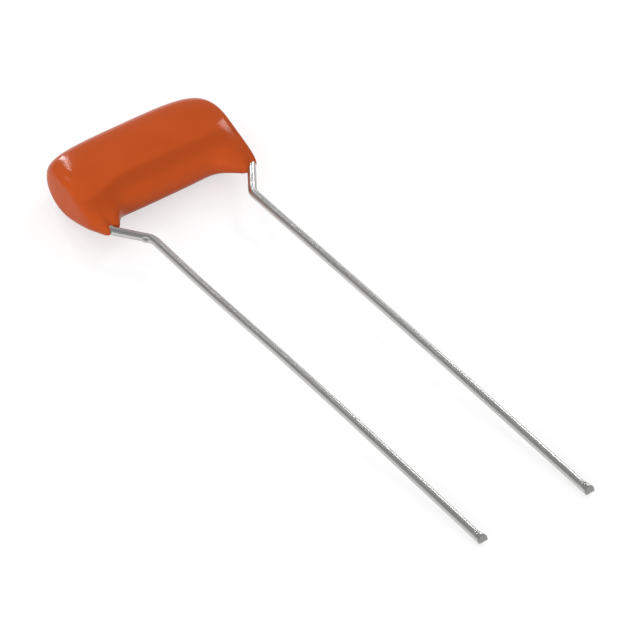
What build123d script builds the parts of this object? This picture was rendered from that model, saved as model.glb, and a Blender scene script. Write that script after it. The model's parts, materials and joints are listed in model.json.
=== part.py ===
from build123d import *
import os
from math import asin, copysign, cos, degrees, exp, pi, radians, sin, tan

# Radial-lead polypropylene film capacitor, dipped in epoxy.  Millimetres.
#
# The capacitor is drawn in its own plane first: +X along the block from the left lead
# to the right one, +Y across the block away from the leads, +Z through its thickness,
# with the origin in the middle of the block.  It is then tipped about X and set down
# the way it lies on a bench: on the flat of the block and on both lead tips.

# ---- driving dimensions ----------------------------------------------------------
# dipped epoxy block
BLOCK_LENGTH = 17.84
BLOCK_HEIGHT = 9.23
BLOCK_THICKNESS = 5.0
BLOCK_SKEW = 0.058          # sideways lean of the end faces: the dip set a little askew
SECTION_POWER = 2.3         # superellipse exponent of the block's cross-section
END_POWER = 3.6             # how squarely the block turns into its end faces
END_FLAT_HEIGHT = 0.38      # flat part of an end face, as a share of the full height
END_FLAT_THICKNESS = 0.39   # and as a share of the full thickness
END_ROUND = 0.3             # rounding of the end faces' borders
STATIONS = 12               # loft stations from the middle to each end
SECTION_POINTS = 20         # points round each station

# feet: where the dip runs down over each lead; their reach is measured from the middle
# of the block, before the ends are rounded off
FOOT_REACH = {"left": 6.1, "right": 6.6}
FOOT_END_FLAT = 0.74        # share of that reach that is left at the end face
FOOT_WIDTH = 2.2            # from the lead towards the middle of the block
FOOT_SQUARENESS = 2.1       # how bluntly a foot ends, seen from the front
FOOT_ROUNDNESS = 4.2        # how sharply it narrows through the thickness

# leads: tinned copper wire
WIRE_DIAMETER = 0.812
EXIT_PITCH = 15.8           # between the leads where they leave the epoxy
LEAD_PITCH = 11.05          # between the straight runs
WIRE_TOP_Y = 2.7            # upper end of the wire, soldered inside
EXIT_Y = -5.95              # corner of the first bend, just inside the foot
KINK_Y = -9.31              # corner of the second bend
TIP_Y = {"left": -56.5, "right": -57.2}
EXIT_BEND = 1.3             # bend radii on the wire's centre line
KINK_BEND = 1.6

# faint bends left by handling: share of the run from the kink to the tip, and height
# off the straight line
FAINT_BENDS = {"left": [(0.16, -0.1), (0.52, 0.27)], "right": [(0.57, 0.2)]}
BEND_SHARE = 0.45           # share of the shorter run that a faint bend takes up

# sheared tips: the wire is squeezed to one side as it is cut
TIP_LENGTH = 0.9
TIP_WIDE_RADIUS = 0.47
TIP_THIN_RADIUS = 0.41
TIP_SHIFT = 0.045
TIP_SLANT = 10.0

# wound element and its contacts
WINDING_LENGTH = 14.2
WINDING_HEIGHT = 7.7
WINDING_THICKNESS = 3.7
SLIT_HEIGHT = 3.6           # slit that the flattened mandrel hole leaves
SLIT_WIDTH = 0.12
SPRAY_THICKNESS = 0.35
SPRAY_INSET = 0.1
SPRAY_EDGE = 0.15
SOLDER_RADIUS = 0.95
SOLDER_LENGTH = 4.4

# values that follow
WIRE_RADIUS = WIRE_DIAMETER / 2
EXIT_X = EXIT_PITCH / 2
RUN_X = LEAD_PITCH / 2
SPRAY_FACE_X = WINDING_LENGTH / 2 + SPRAY_THICKNESS
SIDES = {"left": -1, "right": 1}


# ---- epoxy coating ---------------------------------------------------------------
def signed_power(value, power):
    return copysign(abs(value) ** power, value)


def foot_drop(x, swell, half_height):
    """How far the nearer foot carries the block's lower edge down, for a station at x."""
    foot_x = x + BLOCK_SKEW * EXIT_Y
    full_reach = FOOT_REACH["left" if foot_x < 0 else "right"]
    reach = full_reach * (FOOT_END_FLAT + (1 - FOOT_END_FLAT) * swell)
    inward = max(EXIT_X - abs(foot_x), 0.0) / FOOT_WIDTH
    return (reach - half_height) * exp(-inward**FOOT_SQUARENESS)


def station(turn):
    """Cross-section of the block, for a turn from -90 at the left end to 90 at the right."""
    share = sin(radians(turn))
    x = BLOCK_LENGTH / 2 * share
    swell = max(1 - abs(share) ** END_POWER, 0.0) ** (1 / END_POWER)
    half_height = BLOCK_HEIGHT / 2 * (END_FLAT_HEIGHT + (1 - END_FLAT_HEIGHT) * swell)
    half_depth = BLOCK_THICKNESS / 2 * (END_FLAT_THICKNESS + (1 - END_FLAT_THICKNESS) * swell)
    drop = foot_drop(x, swell, half_height)
    points = []
    for i in range(SECTION_POINTS):
        around = 2 * pi * i / SECTION_POINTS
        y = half_height * signed_power(cos(around), 2 / SECTION_POWER)
        z = half_depth * signed_power(sin(around), 2 / SECTION_POWER)
        y -= drop * max(-cos(around), 0.0) ** FOOT_ROUNDNESS
        points.append((x + BLOCK_SKEW * y, y, z))
    return make_face(Spline(points, periodic=True))


def coating(contents):
    """Pillow-shaped dip, feet included, less everything that it was dipped over."""
    step = 90 / STATIONS
    body = loft([station(step * i) for i in range(-STATIONS, STATIONS + 1)])
    body = fillet(body.faces().filter_by(GeomType.PLANE).edges(), END_ROUND)
    for piece in contents:
        body -= piece
    return body


# ---- leads -----------------------------------------------------------------------
def faint_bend(before, corner, after):
    """Largest radius that the two runs beside a nearly straight corner allow."""
    first = Vector(*corner) - Vector(*before)
    second = Vector(*after) - Vector(*corner)
    half_turn = radians(first.get_angle(second)) / 2
    return BEND_SHARE * min(first.length, second.length) / tan(half_turn)


def tip_level(name):
    """Height of a tip off the block's own plane: it sets the shorter lead down as well."""
    middle = sum(TIP_Y.values()) / len(TIP_Y)
    return (middle - TIP_Y[name]) * tan(radians(rest_tilt()))


def lead_path(name):
    """Centre line from the soldered end to the start of the sheared tip."""
    side = SIDES[name]
    end_y = TIP_Y[name] + TIP_LENGTH
    run = end_y - KINK_Y
    corners = [(side * EXIT_X, WIRE_TOP_Y, 0), (side * EXIT_X, EXIT_Y, 0), (side * RUN_X, KINK_Y, 0)]
    for share, height in FAINT_BENDS[name]:
        corners.append((side * RUN_X, KINK_Y + share * run, height))
    corners.append((side * RUN_X, end_y, tip_level(name)))
    radii = [EXIT_BEND, KINK_BEND]
    radii += [faint_bend(*corners[i - 1:i + 2]) for i in range(3, len(corners) - 1)]
    return FilletPolyline(*corners, radius=radii)


def lead(name):
    """One wire: swept along its path, then drawn out to the squeezed, slanted cut."""
    path = lead_path(name)
    start = Plane(origin=path @ 0, z_dir=path % 0)
    wire = sweep(start * Circle(WIRE_RADIUS), path=path)
    end = Plane(origin=path @ 1, x_dir=(1, 0, 0), z_dir=path % 1)
    middle = end * Pos(TIP_SHIFT / 3, 0, TIP_LENGTH / 2)
    half_way = (WIRE_RADIUS + TIP_WIDE_RADIUS) / 2
    cut = end * Pos(TIP_SHIFT, 0, TIP_LENGTH) * Rot(TIP_SLANT, TIP_SLANT, 0)
    tip = loft([
        end * Circle(WIRE_RADIUS),
        middle * Ellipse(half_way - TIP_SHIFT / 3, WIRE_RADIUS),
        cut * Ellipse(TIP_WIDE_RADIUS, TIP_THIN_RADIUS),
    ])
    return wire + tip


# ---- wound element and its contacts ------------------------------------------------
def roll():
    """Outer form of the winding: a roll pressed flat to an obround section."""
    outline = Plane.YZ * SlotOverall(WINDING_HEIGHT, WINDING_THICKNESS)
    return extrude(outline, WINDING_LENGTH / 2, both=True)


def film_winding():
    """The roll, with the closed-up slit that its mandrel leaves down the middle."""
    return roll() - Box(WINDING_LENGTH, SLIT_HEIGHT, SLIT_WIDTH)


def end_spray(side):
    """Metal sprayed over one end of the winding, joining all of its turns."""
    plane = Plane(origin=(side * WINDING_LENGTH / 2, 0, 0), x_dir=(0, 1, 0), z_dir=(side, 0, 0))
    outline = SlotOverall(WINDING_HEIGHT - 2 * SPRAY_INSET, WINDING_THICKNESS - 2 * SPRAY_INSET)
    layer = extrude(plane * outline, SPRAY_THICKNESS)
    outer_face = layer.faces().sort_by(Axis.X)[-1 if side > 0 else 0]
    return chamfer(outer_face.edges(), SPRAY_EDGE)


def solder(side, wire):
    """Run of solder that holds one wire against its sprayed end: half a round-ended bar."""
    straight = SOLDER_LENGTH / 2 - SOLDER_RADIUS
    top = CenterArc((0, straight), SOLDER_RADIUS, 0, 90)
    bottom = CenterArc((0, -straight), SOLDER_RADIUS, -90, 90)
    outline = [top, bottom, Line(bottom @ 1, top @ 0), Line(bottom @ 0, top @ 1)]
    half = revolve(make_face(outline), Axis.Y, revolution_arc=180)
    return Pos(side * SPRAY_FACE_X, 0, 0) * Rot(0, -side * 90, 0) * half - wire


# ---- the capacitor, lying on a bench -----------------------------------------------
def rest_tilt():
    """Tilt at which the block's flat and the lead tips touch one plane."""
    power = SECTION_POWER / (SECTION_POWER - 1)
    reach = -sum(TIP_Y.values()) / len(TIP_Y)
    tilt = 0.0
    for _ in range(6):
        flat = (BLOCK_THICKNESS / 2 * cos(tilt)) ** power
        edge = (BLOCK_HEIGHT / 2 * sin(tilt)) ** power
        below = (flat + edge) ** (1 / power)
        tilt = asin((below - TIP_THIN_RADIUS * cos(tilt)) / reach)
    return degrees(tilt)


def capacitor():
    pieces = {}
    for name, side in SIDES.items():
        wire = lead(name)
        pieces[name + "_end_spray"] = end_spray(side)
        pieces[name + "_lead"] = wire
        pieces[name + "_solder"] = solder(side, wire)
    pieces["coating"] = coating([roll(), *pieces.values()])
    pieces["film_winding"] = film_winding()
    tilted = {name: Rot(rest_tilt(), 0, 0) * piece for name, piece in pieces.items()}
    box = Compound([piece.solid() for piece in tilted.values()]).bounding_box()
    place = Pos(-box.center().X, -box.center().Y, -box.min.Z)
    return {name: place * piece for name, piece in tilted.items()}


os.makedirs("parts", exist_ok=True)
for name, piece in capacitor().items():
    export_step(piece.solid(), "parts/" + name + ".step")
    box = piece.bounding_box()
    print(name, len(piece.solids()), round(piece.volume, 2), box.min, box.max)
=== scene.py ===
"""Dipped polypropylene film capacitor: coating, leads, inner parts and a small studio.

The capacitor is worked out in its own plane first, in metres: X along the block from the
left lead to the right one, Y across the block away from the leads, Z through its
thickness, with the origin in the middle of the winding.  Every point is then tipped about
X and carried to the place of the packed winding, which is the way the part lies.
"""
import json
from math import asin, cos, pi, radians, sin, tan

import bpy
import numpy as np
from bpy.props import FloatProperty, FloatVectorProperty, IntProperty, PointerProperty
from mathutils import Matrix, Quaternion, Vector


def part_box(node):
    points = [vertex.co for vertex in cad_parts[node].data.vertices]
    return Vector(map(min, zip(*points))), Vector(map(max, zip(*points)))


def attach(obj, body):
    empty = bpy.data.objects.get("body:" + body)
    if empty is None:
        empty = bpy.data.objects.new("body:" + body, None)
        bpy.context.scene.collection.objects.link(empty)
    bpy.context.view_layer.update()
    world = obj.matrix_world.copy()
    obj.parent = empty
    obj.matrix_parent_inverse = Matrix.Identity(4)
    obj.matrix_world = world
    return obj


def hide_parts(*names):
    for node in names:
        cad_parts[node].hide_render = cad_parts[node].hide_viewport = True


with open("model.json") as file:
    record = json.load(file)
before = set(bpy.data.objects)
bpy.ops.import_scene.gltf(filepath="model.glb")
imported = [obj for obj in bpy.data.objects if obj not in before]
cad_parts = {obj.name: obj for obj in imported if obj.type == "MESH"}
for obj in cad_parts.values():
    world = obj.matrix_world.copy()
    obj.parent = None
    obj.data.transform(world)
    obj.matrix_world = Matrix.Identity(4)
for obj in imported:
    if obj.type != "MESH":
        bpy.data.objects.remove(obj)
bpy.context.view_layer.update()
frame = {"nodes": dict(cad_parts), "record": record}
PAINTS = {paint["slot"]: tuple(paint["base_color"]) for paint in frame["record"]["materials"]}

bl_info = {
    "name": "Dipped Film Capacitor",
    "version": (1, 0, 0),
    "blender": (4, 5, 0),
    "location": "View3D > Sidebar > Capacitor",
    "description": "Builds the looks of a dipped polypropylene film capacitor on its packed frame",
    "category": "Object",
}

SIDES = {"left": -1, "right": 1}

# how finely curves are cut up
OUTLINE_SAMPLES = 4001      # along the block, before its rings are spaced out
AROUND_SAMPLES = 2001       # round a ring, before its columns are
LEAD_ZONE = 1.1e-3          # half width of the zone at each lead where rings lie closer
LEAD_CROWDING = 1.2         # how much more often they come there
UNDER_ZONE = 0.5            # half width in radians of the zone where columns lie closer
ARC_POINTS = 6              # fewest points on a bend
TIP_RINGS = 40              # rings over a squeezed tip
END_RINGS = 6               # rings that close each end of a wire
TILT_ROUNDS = 6             # rounds in which the resting tilt settles

# the dip beside each wire, measured from the wire's middle at the mouth of its foot
MOUTH_INSET = 0.12e-3       # how far the bent wire has moved inwards there
DRIP_DEPTH = 1.1e-3         # half width of both drips through the thickness
RUN_PLACE = 0.52e-3         # how far outwards the outer drip hangs
HEEL_PLACE = 0.83e-3        # how far inwards the inner drip hangs
NOTCH_PLACE = 0.6e-3        # how far above the wire the notch is deepest
NOTCH_SPREAD = 0.4e-3       # the notch's half width in that direction
LIP_WIDTH = 0.11e-3         # half width of the bead

# painted shade on the epoxy: a band along each shoulder, between the lit top and the front, and
# the feet; degrees go round a ring, from its top to the leads' side
BAND_RISE = (114, 125)      # degrees over which the painted shade band along each shoulder eases in
BAND_FALL = (128, 160)      # and those over which it eases out
BAND_SHIFT = 13             # degrees that it runs nearer to the leads at the left end
SHIFT_START = 0.4           # share of the half length at which that begins
BAND_ENDS = (1.0, 0.6)      # its strength at the left and at the right end
FOOT_SHADE = 0.5            # the strength of the painted shade on the feet

# the wires; angles go round the wire, in radians
FAINT_BENDS = {             # share of the run from the kink to the tip, and height
    "left": [(0.16, -0.1e-3), (0.52, 0.27e-3)],
    "right": [(0.57, 0.2e-3)],
}
BEND_SHARE = 0.45           # reach of a faint bend, as a share of the shorter run beside it
DENT_SPREAD = 0.45          # half width of the bending tool's dent
EDGE_HEIGHT = 0.6           # metal raised beside the dent, as a share of its depth
EDGE_ANGLE = 1.05           # how far from the dent
EDGE_SPREAD = 0.4           # and its half width
FLARE_ANGLE = 2.54          # middle of the metal that the cut pushed out
FLARE_SPREAD = 0.7          # and its half width
RIBS = 3.5                  # ribs that the cutters left over the squeezed length
RIB_ANGLE = 1.6             # middle of those ribs
RIB_SPREAD = 1.4            # and their half width
WEDGE_POWER = 8             # how late the squeezed tip is drawn out to its ridge
RIDGE_PART = 24             # the ridge lies a 24th of a turn below the wire's middle
LOW_BEVEL = 0.45            # where the lower bevel starts, as a share of the ridge

# a colour mix node's sockets, which share their names with its other kinds
MIX_FACTOR, MIX_FIRST, MIX_SECOND, MIX_RESULT = 0, 6, 7, 2

# the stage
FLOOR_LEVEL = -2e-5         # just under the part
CAMERA_TARGET = (1.242e-3, 1.243e-3, 0.0)
SENSOR_WIDTH = 36.0         # in millimetres
OVERHEAD = 0.5              # sine of the elevation from which the tent counts as overhead


def length(name, default, description):
    """A size in metres, shown in the scene's own unit."""
    return FloatProperty(name=name, description=description, default=default, min=0.0,
                         precision=5, unit="LENGTH")


def share(name, default, description):
    """A plain factor."""
    return FloatProperty(name=name, description=description, default=default)


def pair(name, default, description, unit="LENGTH"):
    """A value for the left and one for the right side."""
    return FloatVectorProperty(name=name, description=description, default=default, size=2,
                               precision=5, unit=unit)


def angle(name, default, description):
    """An angle, whose default is given in degrees."""
    return FloatProperty(name=name, description=description, default=radians(default),
                         subtype="ANGLE")


def colour(name, default, description):
    """A linear colour with its alpha."""
    return FloatVectorProperty(name=name, description=description, default=(*default, 1.0),
                               size=4, min=0.0, max=1.0, subtype="COLOR")


def count(name, default, description):
    """A whole number of steps."""
    return IntProperty(name=name, description=description, default=default, min=3)


# ---- settings ----------------------------------------------------------------------
class CoatingSettings(bpy.types.PropertyGroup):
    """Sizes and colours of the dipped block."""

    block_length: length("Length", 17.85e-3, "Length of the block from end to end")
    block_height: length("Height", 9.215e-3, "Height of the block without its feet")
    block_thickness: length("Thickness", 4.998e-3, "Thickness of the block")
    crown: length("Crown", 0.3e-3, "How far each end face is domed")
    skew: share("Skew", 0.065, "Sideways lean of the end faces, as a slope")
    section_power: share("Section power", 2.29, "Superellipse exponent of the cross-section")
    end_power: share("End power", 4.36, "How squarely the outline turns into its end faces")
    depth_power: share("Depth power", 2.6, "How squarely the thickness falls off at the ends")
    end_height: share("End height", 0.26, "Height left at an end face, as a share")
    end_thickness: share("End thickness", 0.66, "Thickness left at an end face, as a share")
    foot_reach: pair("Foot reach", (6.42e-3, 6.95e-3), "From the block's middle to each bottom")
    foot_end: pair("Foot at the end", (0.48, 0.66), "Share of the reach at an end face", "NONE")
    foot_width: pair("Foot width", (1.78e-3, 2.27e-3), "From each lead towards the block's middle")
    foot_squareness: pair("Foot squareness", (2.8, 2.77), "How bluntly each foot ends", "NONE")
    foot_roundness: share("Foot roundness", 4.44, "How sharply a foot narrows in depth")
    notch_depth: pair("Notch depth", (0.06e-3, 0.0), "How far the dip draws back over each wire")
    notch_width: length("Notch width", 0.55e-3, "Half width of that notch")
    lip_height: length("Lip height", 0.08e-3, "Bead that the dip leaves round each wire")
    run_height: pair("Run height", (0.75e-3, 0.35e-3), "Drip at the outer side of each wire")
    run_width: length("Run width", 0.34e-3, "Half width of that drip")
    heel_height: pair("Heel height", (0.28e-3, 0.25e-3), "Drip at the inner side of each wire")
    heel_width: length("Heel width", 0.4e-3, "Half width of that drip")
    rings: count("Rings", 300, "Rings from one end face to the other")
    columns: count("Columns", 220, "Points round each ring")
    cap_rings: count("Cap rings", 8, "Rings that close each end face")
    base: colour("Epoxy", (0.58, 0.09, 0.0165), "Colour of the epoxy")
    cloud: colour("Epoxy, cloudy", (0.55, 0.084, 0.015), "Colour of its faint clouds")
    # painted shade: the epoxy's colour made darker along the shoulders, between the lit top and
    # the front, and on the feet
    painted_shade_tint: colour("Epoxy, deeper", (0.44, 0.067, 0.0125), "Colour of the painted shade")


class LeadSettings(bpy.types.PropertyGroup):
    """Sizes and colours of the two tinned wires."""

    wire: length("Wire diameter", 0.812e-3, "Diameter of the wire")
    exit_pitch: length("Exit pitch", 15.8e-3, "Between the leads where they leave the dip")
    lead_pitch: length("Lead pitch", 11.05e-3, "Between the straight runs")
    top: length("Wire top", 2.7e-3, "Height of the soldered upper end")
    exit_drop: length("Exit drop", 5.95e-3, "Depth of the first bend's corner")
    exit_extra: pair("Exit extra", (0.28e-3, 0.0), "How much further down each first bend sits")
    kink_drop: length("Kink drop", 9.31e-3, "Depth of the second bend's corner")
    left_drop: length("Left tip drop", 56.5e-3, "Depth of the left tip")
    right_drop: length("Right tip drop", 57.2e-3, "Depth of the right tip")
    exit_bend: length("Exit bend", 1.3e-3, "Radius of the first bend")
    kink_bend: length("Kink bend", 1.6e-3, "Radius of the second bend")
    tip_length: length("Tip length", 1.3e-3, "Length that the cutters squeezed")
    tip_lift: length("Tip lift", 0.005e-3, "Lift that leaves room below for the squeezed tip")
    tip_wide: length("Tip wide radius", 0.47e-3, "Half the wide way across the cut")
    tip_thin: length("Tip thin radius", 0.41e-3, "Half the narrow way across the cut")
    tip_shift: length("Tip shift", 0.045e-3, "Sideways shift of the cut")
    tip_ridge: length("Tip ridge", 0.38e-3, "How far the ridge between the bevels stands out")
    tip_flare: length("Tip flare", 0.07e-3, "Metal pushed out to one side by the cut")
    tip_ripple: pair("Tip ripple", (0.015e-3, 0.04e-3), "Height of the ribs that the cutters left")
    pinch: pair("Pinch", (0.15e-3, 0.04e-3), "Depth of the dent that the bending tool left")
    pinch_back: pair("Pinch back", (0.55e-3, 0.1e-3), "How far before the kink that dent sits")
    pinch_length: length("Pinch length", 0.3e-3, "Half length of that dent")
    pinch_angle: pair("Pinch angle", (0.45, 0.6), "Where it sits round each wire", "ROTATION")
    columns: count("Columns", 48, "Points round the wire")
    step: length("Step", 0.12e-3, "Distance between rings along the wire")
    metal: colour("Tin", (0.72, 0.715, 0.70), "Colour of the tinned wire")


class InnerSettings(bpy.types.PropertyGroup):
    """Colours of the parts inside the dip."""

    film: colour("Film", PAINTS["wound_film"], "Colour of the wound film")
    spray: colour("Spray", PAINTS["sprayed_metal"], "Colour of the sprayed ends")
    solder: colour("Solder", PAINTS["solder"], "Colour of the solder")


class StageSettings(bpy.types.PropertyGroup):
    """Floor, light and camera."""

    floor: colour("Floor", (0.5, 0.5, 0.5), "Colour of the floor")
    floor_size: length("Floor size", 1.2, "Side of the square floor")
    tent: share("Tent", 0.64, "Even light that comes through the tent's cloth")
    low_gloss: share("Low gloss", 0.5, "What a gloss shows of the tent near the horizon")
    high_gloss: share("High gloss", 0.3, "What a gloss shows of the tent overhead")
    key: share("Key light", 19.0, "Brightness of the strip light behind the part")
    side: share("Side light", 14.0, "Brightness of the small soft box beside the part")
    top: share("Top light", 3.0, "Brightness of the dim soft box high behind the part")
    fill: share("Fill light", 3.8, "Brightness of the broad light in front")
    white_lift: share("White lift", 0.6, "Glow of the floor where it is seen directly")
    gloss_lift: share("Gloss lift", 0.46, "Glow of the floor where it is seen in a gloss")
    azimuth: angle("Azimuth", -37.519, "Camera azimuth")
    elevation: angle("Elevation", 40.413, "Camera elevation")
    roll: angle("Roll", 0.373, "Turn of the camera about its own line of sight")
    distance: length("Distance", 0.45, "From the camera to its target")
    lens: FloatProperty(name="Lens", description="Focal length", default=286.9, unit="CAMERA")


# ---- how the part lies -------------------------------------------------------------
def rest_tilt(coating, leads):
    """Tilt at which the flat of the block and both tips touch one plane.

    The lowest point of a tilted superellipse lies (flat^q + edge^q)^(1/q) below its
    middle, where q = n / (n - 1); the sine of the tilt is the rest of that drop over the
    mean reach of the leads.
    """
    power = coating.section_power / (coating.section_power - 1)
    reach = (leads.left_drop + leads.right_drop) / 2
    tilt = 0.0
    for _ in range(TILT_ROUNDS):
        flat = (coating.block_thickness / 2 * cos(tilt)) ** power
        edge = (coating.block_height / 2 * sin(tilt)) ** power
        below = (flat + edge) ** (1 / power)
        tilt = asin((below - leads.tip_thin * cos(tilt)) / reach)
    return tilt


def laid_down(points, tilt):
    """Points turned by the tilt about X and carried to the packed winding's middle."""
    low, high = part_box("film_winding")
    x, y, z = np.moveaxis(points, -1, 0)
    turned = np.stack([x, y * cos(tilt) - z * sin(tilt), y * sin(tilt) + z * cos(tilt)], -1)
    return turned + np.array((low + high) / 2)


# ---- meshes ------------------------------------------------------------------------
def in_a_row(rings):
    """Points of closed rings one after the other, with each pole kept once."""
    return np.concatenate([rings[:1, 0], rings[1:-1].reshape(-1, 3), rings[-1:, 0]])


def ring_mesh(name, rings, label, values):
    """Closed skin over rings of points, given as an array (ring, column, 3).

    The first and the last ring are poles: all of their points are the same, so each is
    kept once and joined to its neighbour by a fan of triangles.  Between them each pair
    of rings is joined by quads whose corners are column i and column i + 1.  The values
    become an attribute of the points.
    """
    points = in_a_row(rings)
    height, width = len(rings) - 2, rings.shape[1]
    index = 1 + np.arange(height * width).reshape(height, width)
    after = np.roll(index, -1, axis=1)
    quads = np.stack([index[:-1], after[:-1], after[1:], index[1:]], -1).reshape(-1, 4)
    first = np.stack([np.zeros(width, int), after[0], index[0]], -1)
    last = np.stack([np.full(width, len(points) - 1), index[-1], after[-1]], -1)
    mesh = bpy.data.meshes.new(name)
    mesh.from_pydata(points.tolist(), [], quads.tolist() + first.tolist() + last.tolist())
    layer = mesh.attributes.new(label, "FLOAT_VECTOR", "POINT")
    layer.data.foreach_set("vector", in_a_row(values).astype(np.float32).ravel())
    mesh.shade_smooth()
    mesh.update()
    return mesh


def place_piece(context, name, mesh, material, slot, *nodes):
    """Links a finished mesh that stands for CAD nodes and rides on the fixed body."""
    piece = bpy.data.objects.new(name, mesh)
    context.scene.collection.objects.link(piece)
    mesh.materials.append(material)
    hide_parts(*nodes)
    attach(piece, "root")


# ---- curves ------------------------------------------------------------------------
def signed_power(values, power):
    """Power of the size, with the sign kept."""
    return np.sign(values) * np.abs(values) ** power


def bell(distance, width):
    """Bell curve exp(-(distance / width)^2)."""
    return np.exp(-((distance / width) ** 2))


def ease(values, low, high):
    """Smooth step 3 t^2 - 2 t^3 from 0 at low to 1 at high."""
    t = np.clip((values - low) / (high - low), 0, 1)
    return t * t * (3 - 2 * t)


def evenly(values, spacing, steps):
    """Values picked so that the running total of the spacing grows in equal steps."""
    total = np.concatenate([[0.0], np.cumsum((spacing[1:] + spacing[:-1]) / 2)])
    return np.interp(np.linspace(0, total[-1], steps), total, values)


def disc(ring, middle, shares):
    """Copies of a ring, each shrunk towards the middle point to a share of its size."""
    return middle + shares[:, None, None] * (ring - middle)


# ---- coating -----------------------------------------------------------------------
def outline(t, power):
    """Share of the half length, sin(t)^(2/p), and swell, cos(t)^(2/p).

    Together they draw a superellipse of power p from end face to end face.
    """
    return signed_power(np.sin(t), 2 / power), np.abs(np.cos(t)) ** (2 / power)


def block_rings(c, exit_x):
    """The outline at each ring, where rings lie closer together at the leads.

    A ring's distance to the next is the step along the block and half the step in the
    half height, less where a bell curve round each lead crowds them.
    """
    t = np.linspace(-pi / 2, pi / 2, OUTLINE_SAMPLES)
    along, swell = outline(t, c.end_power)
    x = along * c.block_length / 2
    near = bell(np.abs(x) - exit_x, LEAD_ZONE)
    reach = np.hypot(np.gradient(x), np.gradient(swell * c.block_height / 4))
    return outline(evenly(t, reach * (1 + LEAD_CROWDING * near), c.rings), c.end_power)


def ring_angles(columns):
    """Angles round a ring, up to twice as close on the leads' side, round pi."""
    a = np.linspace(0, 2 * pi, AROUND_SAMPLES)
    return evenly(a, 1 + bell(a - pi, UNDER_ZONE), columns + 1)[:-1]


def coating_points(c, leads):
    """The pillow of the dip, in the capacitor's own plane, and the painted shade over it.

    Each ring is the superellipse y = h cos(a)^(2/n), z = d sin(a)^(2/n), where h and d
    shrink towards the end faces, h with the swell and d with (1 - share^q)^(1/q).  The
    end faces are domed by crown * (1 - size^2).  A foot lowers the ring by
    drop * (-cos a)^roundness, where the drop fades as exp(-inward^squareness) away from
    the lead.  Last, x leans by skew * y.
    """
    exit_x = leads.exit_pitch / 2
    along, swell = block_rings(c, exit_x)
    a = ring_angles(c.columns)
    size = c.end_height + (1 - c.end_height) * swell
    x = along * (c.block_length / 2 - c.crown) + np.sign(along) * c.crown * (1 - size**2)
    x = np.broadcast_to(x[:, None], (len(x), len(a)))
    half_height = c.block_height / 2 * size[:, None]
    thinning = np.maximum(1 - np.abs(along) ** c.depth_power, 0.0) ** (1 / c.depth_power)
    half_depth = c.block_thickness / 2 * (c.end_thickness + (1 - c.end_thickness) * thinning)
    y = half_height * signed_power(np.cos(a), 2 / c.section_power)
    z = half_depth[:, None] * signed_power(np.sin(a), 2 / c.section_power)
    foot_x = x - c.skew * leads.exit_drop
    full, end, width, squareness = (np.where(foot_x < 0, *sides) for sides in (
        c.foot_reach, c.foot_end, c.foot_width, c.foot_squareness))
    inward = np.maximum(exit_x - np.abs(foot_x), 0.0) / width
    fade = np.exp(-inward**squareness)
    drop = full * (end + (1 - end) * swell[:, None]) - half_height
    under = np.maximum(-np.cos(a), 0.0)
    y = y - drop * fade * under**c.foot_roundness
    y = with_drips(c, leads, foot_x, y, z, under)
    body = np.stack([x + c.skew * y, y, z], -1)
    points = np.concatenate([domed_cap(c, body[0], -1), body, domed_cap(c, body[-1], 1)[::-1]])
    # painted shade: how far the epoxy is darkened along the shoulders and on the feet
    painted_shade = np.pad(painted_shade_amount(along, swell, a, fade, under), ((c.cap_rings,) * 2, (0, 0)))
    return points, np.repeat(painted_shade[..., None], 3, -1)


def with_drips(c, leads, foot_x, y, z, under):
    """The rings' heights with the marks that the dip left round each wire.

    A drip hangs at the outer side of each wire and another at its inner side, the foot
    draws back over the wire in a notch and a bead runs round it; each is a bell curve
    that fades with a power of (-cos a).
    """
    low = bell(z, DRIP_DEPTH) * under**4
    for side, notch, run, heel in zip(SIDES.values(), c.notch_depth, c.run_height, c.heel_height):
        wire_x = foot_x - side * (leads.exit_pitch / 2 - MOUTH_INSET)
        y = y - run * bell(side * wire_x - RUN_PLACE, c.run_width) * low
        y = y - heel * bell(side * wire_x + HEEL_PLACE, c.heel_width) * low
        back = bell(z - NOTCH_PLACE, NOTCH_SPREAD)
        y = y + notch * bell(wire_x, c.notch_width) * back * under**2
        y = y - c.lip_height * bell(np.hypot(wire_x, z) - leads.wire / 2, LIP_WIDTH) * under**4
    return y


def domed_cap(c, ring, side):
    """Rings that close an end face, bulged by crown * end height^2 * (1 - share^2)."""
    shares = np.linspace(0, 1, c.cap_rings, False)
    cap = disc(ring, ring.mean(0), shares)
    cap[..., 0] += side * c.crown * c.end_height**2 * (1 - shares[:, None] ** 2)
    return cap


def painted_shade_amount(along, swell, a, fade, under):
    """Painted shade, from 0 to 1.

    Most in a band along both shoulders on the leads' side, between the lit top and the front,
    which runs nearer to the leads towards the left end, and some on the feet, painted shade on the
    underside.
    """
    turn = np.degrees(pi - np.abs(a - pi))
    turn = turn - BAND_SHIFT * ease(-along, SHIFT_START, 1.0)[:, None]
    band = ease(turn, *BAND_RISE) * (1 - ease(turn, *BAND_FALL))
    strength = swell * np.interp(along, (-1, 1), BAND_ENDS)
    foot = FOOT_SHADE * np.sqrt(swell)[:, None] * fade * under**2
    return np.maximum(strength[:, None] * band, foot)


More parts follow.
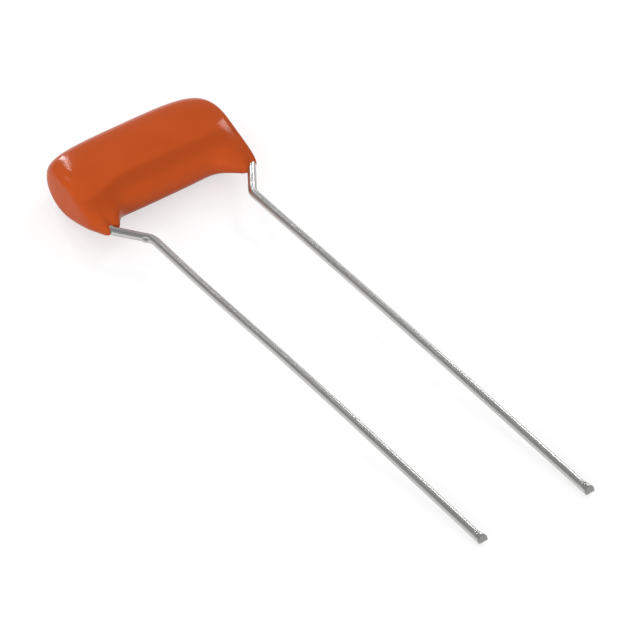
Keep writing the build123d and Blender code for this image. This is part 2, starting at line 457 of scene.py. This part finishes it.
# ---- leads -------------------------------------------------------------------------
def lead_corners(name, coating, leads):
    """Corners of one wire and the radii between them, in the capacitor's own plane.

    The runs are straight; the bends are the two made on purpose and the faint ones that
    handling left, whose radius is a share of the shorter neighbouring run over the
    tangent of half the turn.
    """
    side = SIDES[name]
    drops = {"left": leads.left_drop, "right": leads.right_drop}
    exit_x, run_x = side * leads.exit_pitch / 2, side * leads.lead_pitch / 2
    end = drops[name] - leads.tip_length
    run = end - leads.kink_drop
    level = (drops[name] - sum(drops.values()) / 2) * tan(rest_tilt(coating, leads))
    level += leads.tip_lift
    bend = leads.exit_drop + leads.exit_extra[list(SIDES).index(name)]
    corners = [(exit_x, leads.top, 0), (exit_x, -bend, 0), (run_x, -leads.kink_drop, 0)]
    corners += [(run_x, -leads.kink_drop - part * run, height)
                for part, height in FAINT_BENDS[name]]
    corners = np.array(corners + [(run_x, -end, level)])
    runs = np.diff(corners, axis=0)
    sizes = np.linalg.norm(runs, axis=1)
    turns = np.arccos(np.clip((runs[1:] * runs[:-1]).sum(1) / (sizes[1:] * sizes[:-1]), -1, 1))
    radii = BEND_SHARE * np.minimum(sizes[1:], sizes[:-1]) / np.tan(turns / 2)
    radii[:2] = leads.exit_bend, leads.kink_bend
    return corners, radii


def rounded_path(corners, radii, step):
    """Centre line of straight runs joined by arcs, one point about every step.

    An arc starts radius * tan(turn / 2) before its corner.  Its points are
    start + radius * (sin(t) * forward + (1 - cos(t)) * inward).
    """
    pieces, last = [], corners[0]
    for before, corner, after, radius in zip(corners, corners[1:], corners[2:], radii):
        forward = (corner - before) / np.linalg.norm(corner - before)
        leaving = (after - corner) / np.linalg.norm(after - corner)
        turn = np.arccos(np.clip(forward @ leaving, -1, 1))
        start = corner - forward * radius * tan(turn / 2)
        inward = leaving - forward * (forward @ leaving)
        inward /= np.linalg.norm(inward)
        steps = max(int(np.linalg.norm(start - last) / step), 1)
        pieces.append(np.linspace(last, start, steps, False))
        t = np.linspace(0, turn, max(int(radius * turn / step), ARC_POINTS), False)[:, None]
        pieces.append(start + radius * (np.sin(t) * forward + (1 - np.cos(t)) * inward))
        last = corner + leaving * radius * tan(turn / 2)
    steps = max(int(np.linalg.norm(corners[-1] - last) / step), 2)
    pieces.append(np.linspace(last, corners[-1], steps))
    return np.concatenate(pieces)


def directions(path, travel):
    """Unit vectors along a path, across it in the bench's plane and up from it."""
    tangent = np.gradient(path, travel, axis=0)
    tangent /= np.linalg.norm(tangent, axis=1, keepdims=True)
    across = np.cross(tangent, (0, 0, 1.0))
    across /= np.linalg.norm(across, axis=1, keepdims=True)
    return tangent, across, np.cross(across, tangent)


def lead_rings(name, coating, leads):
    """Skin of one wire and the same skin unrolled straight, for its drawing lines.

    A circle is carried along the centre line, square to it.  At the kink one bell curve
    sinks the dent that the bending tool left and another raises the metal beside it.
    Over the squeezed tip, where t goes from 0 to 1, the circle widens as t^3 to an
    ellipse and shifts sideways, a flare of t^3 times a bell curve stands out, cosine ribs
    run round it, and the cut rises with t^8 from 0 at its top and from the low bevel's
    start at its bottom to the ridge between the two.
    """
    which = list(SIDES).index(name)
    corners, radii = lead_corners(name, coating, leads)
    path = rounded_path(corners, radii, leads.step)
    ahead = path[-1] - path[-2]
    ahead /= np.linalg.norm(ahead)
    tip = np.linspace(0, 1, TIP_RINGS + 1)[1:, None]
    path = np.concatenate([path, path[-1] + ahead * tip * (leads.tip_length - leads.tip_ridge)])
    part = np.concatenate([np.zeros(len(path) - TIP_RINGS), tip[:, 0]])[:, None]
    squeeze = part**3
    travel = np.concatenate([[0.0], np.cumsum(np.linalg.norm(np.diff(path, axis=0), axis=1))])
    kink = travel[np.linalg.norm(path - corners[2], axis=1).argmin()]
    tangent, across, up = directions(path, travel)
    a = np.linspace(0, 2 * pi, leads.columns, False)
    before = kink - leads.pinch_back[which] - travel[:, None]
    past = (a - leads.pinch_angle[which] + pi) % (2 * pi) - pi
    dent = EDGE_HEIGHT * bell(past + EDGE_ANGLE, EDGE_SPREAD) - bell(past, DENT_SPREAD)
    extra = leads.pinch[which] * bell(before, leads.pinch_length) * dent
    extra = extra + leads.tip_flare * squeeze * bell(a - FLARE_ANGLE, FLARE_SPREAD)
    ribs = np.sin(pi * part) ** 2 * (1 - np.cos(2 * pi * part * RIBS))
    extra = extra + leads.tip_ripple[which] * ribs * bell(a - RIB_ANGLE, RIB_SPREAD)
    radius = leads.wire / 2
    sideways = (radius + (leads.tip_wide - radius) * squeeze + extra) * np.cos(a)
    upwards = (radius + (leads.tip_thin - radius) * squeeze + extra) * np.sin(a)
    ridge_height = -sin(2 * pi / RIDGE_PART)
    bevels = np.interp(upwards / leads.tip_thin, (-1, ridge_height, 1), (LOW_BEVEL, 1, 0))
    wedge = leads.tip_ridge * part**WEDGE_POWER * bevels
    shifted = sideways - leads.tip_shift * squeeze
    skin = (path[:, None] + shifted[..., None] * across[:, None]
            + upwards[..., None] * up[:, None] + wedge[..., None] * tangent[:, None])
    unrolled = np.stack([sideways, upwards, travel[:, None] + wedge], -1)
    return close_ends(skin), close_ends(unrolled)


def close_ends(rings):
    """The rings with a disc of shrinking rings over the first and the last of them.

    Each disc shrinks to the point half-way between the two columns that lie a 24th of a
    turn below the middle, which at the cut are the ends of the ridge, so both of its
    bevels stay flat.
    """
    columns = rings.shape[1]
    below = columns // RIDGE_PART
    ridge = [-below, columns // 2 + below]
    shares = np.linspace(0, 1, END_RINGS, False)
    first, last = (disc(ring, ring[ridge].mean(0), shares) for ring in (rings[0], rings[-1]))
    return np.concatenate([first, rings, last[::-1]])


# ---- finishes ----------------------------------------------------------------------
def add_node(tree, kind, inputs=None, **options):
    """One shader node; an input is either a plain value or another node's socket."""
    node = tree.nodes.new(kind)
    for name, value in options.items():
        setattr(node, name, value)
    for name, value in (inputs or {}).items():
        if isinstance(value, bpy.types.NodeSocket):
            tree.links.new(value, node.inputs[name])
        else:
            node.inputs[name].default_value = value
    return node


def new_finish(name, **constants):
    """Empty material with a principled surface whose constants stand on its own sockets."""
    material = bpy.data.materials.new(name)
    material.use_nodes = True
    tree = material.node_tree
    tree.nodes.clear()
    surface = add_node(tree, "ShaderNodeBsdfPrincipled",
                       {label.replace("_", " "): value for label, value in constants.items()})
    add_node(tree, "ShaderNodeOutputMaterial", {"Surface": surface.outputs["BSDF"]})
    return material, tree, surface


def noise(tree, vector, scale=1.0, detail=2.0, stretch=(1.0, 1.0, 1.0)):
    """Height of a noise field read on a stretched vector."""
    mapped = add_node(tree, "ShaderNodeMapping", {"Vector": vector, "Scale": stretch})
    field = add_node(tree, "ShaderNodeTexNoise",
                     {"Vector": mapped.outputs["Vector"], "Scale": scale, "Detail": detail})
    return field.outputs["Fac"]


def between(tree, factor, first, second, low=0.3, high=0.7):
    """Colour that goes from the first to the second while the factor goes from low to high."""
    ramp = add_node(tree, "ShaderNodeValToRGB", {"Fac": factor})
    for stop, position, tint in zip(ramp.color_ramp.elements, (low, high), (first, second)):
        stop.position, stop.color = position, tint
    return ramp.outputs["Color"]


def ranged(tree, factor, low, high):
    """Number that goes from low to high while the factor goes from 0 to 1."""
    scaled = add_node(tree, "ShaderNodeMapRange", {"Value": factor, "To Min": low, "To Max": high})
    return scaled.outputs["Result"]


def raised(tree, height, distance, strength, **beneath):
    """Normal bent by a height field, over the bent Normal beneath it if one is given."""
    inputs = {"Height": height, "Distance": distance, "Strength": strength, **beneath}
    return add_node(tree, "ShaderNodeBump", inputs).outputs["Normal"]


def shade(tint, factor):
    """A colour made darker by a factor."""
    return tuple(factor * part for part in tint[:3]) + (1.0,)


def dress(tree, surface, tint, roughness, normal):
    """Links a finish's colour, roughness and normal to its surface."""
    for label, socket in (("Base Color", tint), ("Roughness", roughness), ("Normal", normal)):
        tree.links.new(socket, surface.inputs[label])


def epoxy_finish(settings):
    """Glossy pigmented epoxy: faint clouds, painted shade along the shoulders and on the feet,
    waves and orange peel.
    """
    material, tree, surface = new_finish("dipped_epoxy", IOR=1.12, Specular_IOR_Level=1.0)
    place = add_node(tree, "ShaderNodeTexCoord").outputs["Object"]
    clouds = noise(tree, place, scale=330.0, detail=3.0)
    tint = between(tree, clouds, settings.cloud, settings.base, low=0.35)
    # painted shade: the attribute mixes the epoxy towards its darker tint
    painted_shade = add_node(tree, "ShaderNodeAttribute", attribute_name="painted_shade").outputs["Fac"]
    mixed = add_node(tree, "ShaderNodeMix", {MIX_FACTOR: painted_shade, MIX_FIRST: tint,
                                             MIX_SECOND: settings.painted_shade_tint}, data_type="RGBA")
    waves = raised(tree, noise(tree, place, scale=260.0, detail=1.0), 0.0001, 0.15)
    peel = raised(tree, noise(tree, place, scale=2600.0), 0.00001, 0.08, Normal=waves)
    dull = ranged(tree, noise(tree, place, scale=700.0), 0.1, 0.15)
    dress(tree, surface, mixed.outputs[MIX_RESULT], dull, peel)
    return material


def tinned_finish(settings):
    """Tinned wire: drawing lines along its length, with duller patches of tin."""
    material, tree, surface = new_finish("tinned_wire", Metallic=1.0)
    place = add_node(tree, "ShaderNodeAttribute", attribute_name="unrolled").outputs["Vector"]
    lines = noise(tree, place, detail=3.0, stretch=(9000.0, 9000.0, 120.0))
    patches = noise(tree, place, stretch=(1200.0, 1200.0, 500.0))
    tint = between(tree, lines, shade(settings.metal, 0.8), settings.metal)
    dress(tree, surface, tint, ranged(tree, patches, 0.28, 0.38),
          raised(tree, lines, 0.00003, 0.12))
    return material


def film_finish(settings):
    """Wound film: pale and glossy, with the lines of its turns."""
    material, tree, surface = new_finish("wound_film", IOR=1.49)
    place = add_node(tree, "ShaderNodeTexCoord").outputs["Object"]
    turns = noise(tree, place, stretch=(60.0, 9000.0, 9000.0))
    tint = between(tree, turns, shade(settings.film, 0.7), settings.film)
    dress(tree, surface, tint, ranged(tree, turns, 0.25, 0.4), raised(tree, turns, 0.00002, 0.3))
    return material


def spray_finish(settings):
    """Sprayed metal: matt, with the grain of its droplets."""
    material, tree, surface = new_finish("sprayed_metal", Metallic=0.9)
    place = add_node(tree, "ShaderNodeTexCoord").outputs["Object"]
    grains = noise(tree, place, scale=7000.0, detail=4.0)
    tint = between(tree, grains, shade(settings.spray, 0.6), settings.spray)
    dress(tree, surface, tint, ranged(tree, grains, 0.55, 0.8), raised(tree, grains, 0.00006, 0.8))
    return material


def solder_finish(settings):
    """Solder: bright, with the slow ripple of metal that set as it flowed."""
    material, tree, surface = new_finish("solder", Metallic=1.0)
    place = add_node(tree, "ShaderNodeTexCoord").outputs["Object"]
    ripple = noise(tree, place, scale=1500.0)
    tint = between(tree, ripple, shade(settings.solder, 0.85), settings.solder)
    dress(tree, surface, tint, ranged(tree, ripple, 0.15, 0.35),
          raised(tree, ripple, 0.00008, 0.4))
    return material


def repaint(material, slot, *names):
    """Gives carried-over CAD nodes a finish; their meshes stay as they are."""
    for name in names:
        node = frame["nodes"][name]
        node.data.materials.clear()
        node.data.materials.append(material)


# ---- stage -------------------------------------------------------------------------
def floor_finish(settings):
    """Pale floor that takes a shadow, a little lighter seen directly or in a gloss."""
    material, tree, surface = new_finish("pale_floor", Roughness=0.9, Specular_IOR_Level=0.0,
                                         Emission_Color=(1.0, 1.0, 1.0, 1.0))
    place = add_node(tree, "ShaderNodeTexCoord").outputs["Object"]
    tint = between(tree, noise(tree, place, scale=30.0), shade(settings.floor, 0.99),
                   settings.floor, low=0.0, high=1.0)
    tree.links.new(tint, surface.inputs["Base Color"])
    path = add_node(tree, "ShaderNodeLightPath").outputs
    glossy = add_node(tree, "ShaderNodeMath",
                      {0: path["Is Glossy Ray"], 1: settings.gloss_lift}, operation="MULTIPLY")
    lift = add_node(tree, "ShaderNodeMath",
                    {0: path["Is Camera Ray"], 1: settings.white_lift, 2: glossy.outputs[0]},
                    operation="MULTIPLY_ADD")
    tree.links.new(lift.outputs[0], surface.inputs["Emission Strength"])
    return material


def light_the_world(scene, settings):
    """A tent of cloth: white to the eye, even as a light, and in a gloss dimmer overhead."""
    world = bpy.data.worlds.new("studio")
    world.use_nodes = True
    tree = world.node_tree
    tree.nodes.clear()
    direction = add_node(tree, "ShaderNodeTexCoord").outputs["Generated"]
    height = add_node(tree, "ShaderNodeSeparateXYZ", {"Vector": direction}).outputs["Z"]
    dim = add_node(tree, "ShaderNodeMapRange", {
        "Value": height, "From Min": 0.0, "From Max": OVERHEAD,
        "To Min": settings.low_gloss, "To Max": settings.high_gloss})
    path = add_node(tree, "ShaderNodeLightPath").outputs
    cloth = add_node(tree, "ShaderNodeMix", {
        "Factor": path["Is Glossy Ray"], "A": settings.tent, "B": dim.outputs["Result"]})
    strength = add_node(tree, "ShaderNodeMix", {
        "Factor": path["Is Camera Ray"], "A": cloth.outputs["Result"], "B": 1.0})
    sky = add_node(tree, "ShaderNodeBackground", {
        "Color": (1.0, 1.0, 1.0, 1.0), "Strength": strength.outputs["Result"]})
    add_node(tree, "ShaderNodeOutputWorld", {"Surface": sky.outputs["Background"]})
    scene.world = world


def soft_box(context, name, target, direction, distance, size, brightness, glossy=True):
    """Rectangular light that faces the target; its power is brightness * pi * area."""
    lamp = bpy.data.lights.new(name, "AREA")
    lamp.shape = "RECTANGLE"
    lamp.size, lamp.size_y = size
    lamp.energy = brightness * pi * size[0] * size[1]
    light = bpy.data.objects.new(name, lamp)
    away = Vector(direction).normalized()
    light.location = target + away * distance
    light.rotation_mode = "QUATERNION"
    light.rotation_quaternion = (-away).to_track_quat("-Z", "Y")
    light.visible_camera = False
    light.visible_glossy = glossy
    context.scene.collection.objects.link(light)


def lay_floor(context, stage):
    """Square floor just under the part."""
    half = stage.floor_size / 2
    mesh = bpy.data.meshes.new("floor")
    sides = ((-half, -half), (half, -half), (half, half), (-half, half))
    corners = [(x, y, FLOOR_LEVEL) for x, y in sides]
    mesh.from_pydata(corners, [], [(0, 1, 2, 3)])
    mesh.materials.append(floor_finish(stage))
    floor = bpy.data.objects.new("floor", mesh)
    context.scene.collection.objects.link(floor)


def set_camera(context, stage):
    """Camera that looks at its target from an azimuth and an elevation."""
    camera = bpy.data.cameras.new("camera")
    camera.lens, camera.sensor_width = stage.lens, SENSOR_WIDTH
    camera.clip_start, camera.clip_end = 0.01, 10.0
    eye = bpy.data.objects.new("camera", camera)
    around, above = stage.azimuth, stage.elevation
    back = Vector((sin(around) * cos(above), -cos(around) * cos(above), sin(above)))
    eye.location = Vector(CAMERA_TARGET) + back * stage.distance
    eye.rotation_mode = "QUATERNION"
    eye.rotation_quaternion = Quaternion(back, stage.roll) @ (-back).to_track_quat("-Z", "Y")
    context.scene.collection.objects.link(eye)
    context.scene.camera = eye


# ---- operators ---------------------------------------------------------------------
class CAPACITOR_OT_coating(bpy.types.Operator):
    """Dip the block: one closed skin with a foot over each lead"""

    bl_idname = "capacitor.coating"
    bl_label = "Dip the Coating"

    def execute(self, context):
        coating, leads = context.scene.capacitor_coating, context.scene.capacitor_leads
        points, painted_shade = coating_points(coating, leads)
        skin = laid_down(points, rest_tilt(coating, leads))
        # the mesh carries the painted shade as a point attribute
        mesh = ring_mesh("epoxy_coating", skin, "painted_shade", painted_shade)
        place_piece(context, "epoxy_coating", mesh, epoxy_finish(coating), "epoxy", "coating")
        return {"FINISHED"}


class CAPACITOR_OT_leads(bpy.types.Operator):
    """Draw both wires: kinked, faintly bowed and sheared off"""

    bl_idname = "capacitor.leads"
    bl_label = "Draw the Leads"

    def execute(self, context):
        coating, leads = context.scene.capacitor_coating, context.scene.capacitor_leads
        tilt = rest_tilt(coating, leads)
        finish = tinned_finish(leads)
        for name in SIDES:
            skin, unrolled = lead_rings(name, coating, leads)
            mesh = ring_mesh(name + "_wire", laid_down(skin, tilt), "unrolled", unrolled)
            place_piece(context, name + "_wire", mesh, finish, "tinned_wire", name + "_lead")
        return {"FINISHED"}


class CAPACITOR_OT_winding(bpy.types.Operator):
    """Finish the wound film inside the dip"""

    bl_idname = "capacitor.winding"
    bl_label = "Finish the Winding"

    def execute(self, context):
        repaint(film_finish(context.scene.capacitor_inner), "wound_film", "film_winding")
        return {"FINISHED"}


class CAPACITOR_OT_contacts(bpy.types.Operator):
    """Finish the sprayed ends and the solder that holds the wires"""

    bl_idname = "capacitor.contacts"
    bl_label = "Finish the Contacts"

    def execute(self, context):
        inner = context.scene.capacitor_inner
        repaint(spray_finish(inner), "sprayed_metal", "left_end_spray", "right_end_spray")
        repaint(solder_finish(inner), "solder", "left_solder", "right_solder")
        return {"FINISHED"}


class CAPACITOR_OT_stage(bpy.types.Operator):
    """Set the floor, the lights and the camera"""

    bl_idname = "capacitor.stage"
    bl_label = "Set the Stage"

    def execute(self, context):
        stage = context.scene.capacitor_stage
        lay_floor(context, stage)
        light_the_world(context.scene, stage)
        low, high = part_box("coating")
        middle = (low + high) / 2
        soft_box(context, "key", middle, direction=(0.24, 0.82, 0.38), distance=0.35,
                 size=(0.014, 0.28), brightness=stage.key)
        soft_box(context, "top", middle, direction=(-0.03, 0.6, 0.79), distance=0.35,
                 size=(0.05, 0.05), brightness=stage.top)
        soft_box(context, "side", middle, direction=(0.75, 0.31, 0.58), distance=0.35,
                 size=(0.05, 0.08), brightness=stage.side)
        soft_box(context, "fill", middle, direction=(-0.8, -0.58, 0.1), distance=0.5,
                 size=(0.5, 0.4), brightness=stage.fill, glossy=False)
        set_camera(context, stage)
        context.scene.view_settings.view_transform = "Standard"
        return {"FINISHED"}


class CAPACITOR_PT_build(bpy.types.Panel):
    """The capacitor's settings and its building steps"""

    bl_label = "Film Capacitor"
    bl_space_type = "VIEW_3D"
    bl_region_type = "UI"
    bl_category = "Capacitor"

    def draw(self, context):
        for label, steps in PANEL_ROWS.items():
            settings = getattr(context.scene, "capacitor_" + label)
            box = self.layout.box()
            box.label(text=type(settings).__doc__)
            for name in settings.__annotations__:
                box.prop(settings, name)
            for step in steps:
                box.operator(step.bl_idname)


SETTINGS = {
    "coating": CoatingSettings,
    "leads": LeadSettings,
    "inner": InnerSettings,
    "stage": StageSettings,
}
PANEL_ROWS = {
    "coating": [CAPACITOR_OT_coating],
    "leads": [CAPACITOR_OT_leads],
    "inner": [CAPACITOR_OT_winding, CAPACITOR_OT_contacts],
    "stage": [CAPACITOR_OT_stage],
}
STEPS = [step for steps in PANEL_ROWS.values() for step in steps]


def register():
    """Makes the classes known and hangs the settings on the scene."""
    for kind in (*SETTINGS.values(), *STEPS, CAPACITOR_PT_build):
        bpy.utils.register_class(kind)
    for label, kind in SETTINGS.items():
        setattr(bpy.types.Scene, "capacitor_" + label, PointerProperty(type=kind))


def unregister():
    """Takes back what register did."""
    for label in SETTINGS:
        delattr(bpy.types.Scene, "capacitor_" + label)
    for kind in (CAPACITOR_PT_build, *reversed(STEPS), *SETTINGS.values()):
        bpy.utils.unregister_class(kind)


def main():
    """Builds the capacitor step by step."""
    register()
    bpy.ops.capacitor.coating()
    bpy.ops.capacitor.leads()
    bpy.ops.capacitor.winding()
    bpy.ops.capacitor.contacts()
    bpy.ops.capacitor.stage()


if __name__ == "__main__":
    main()
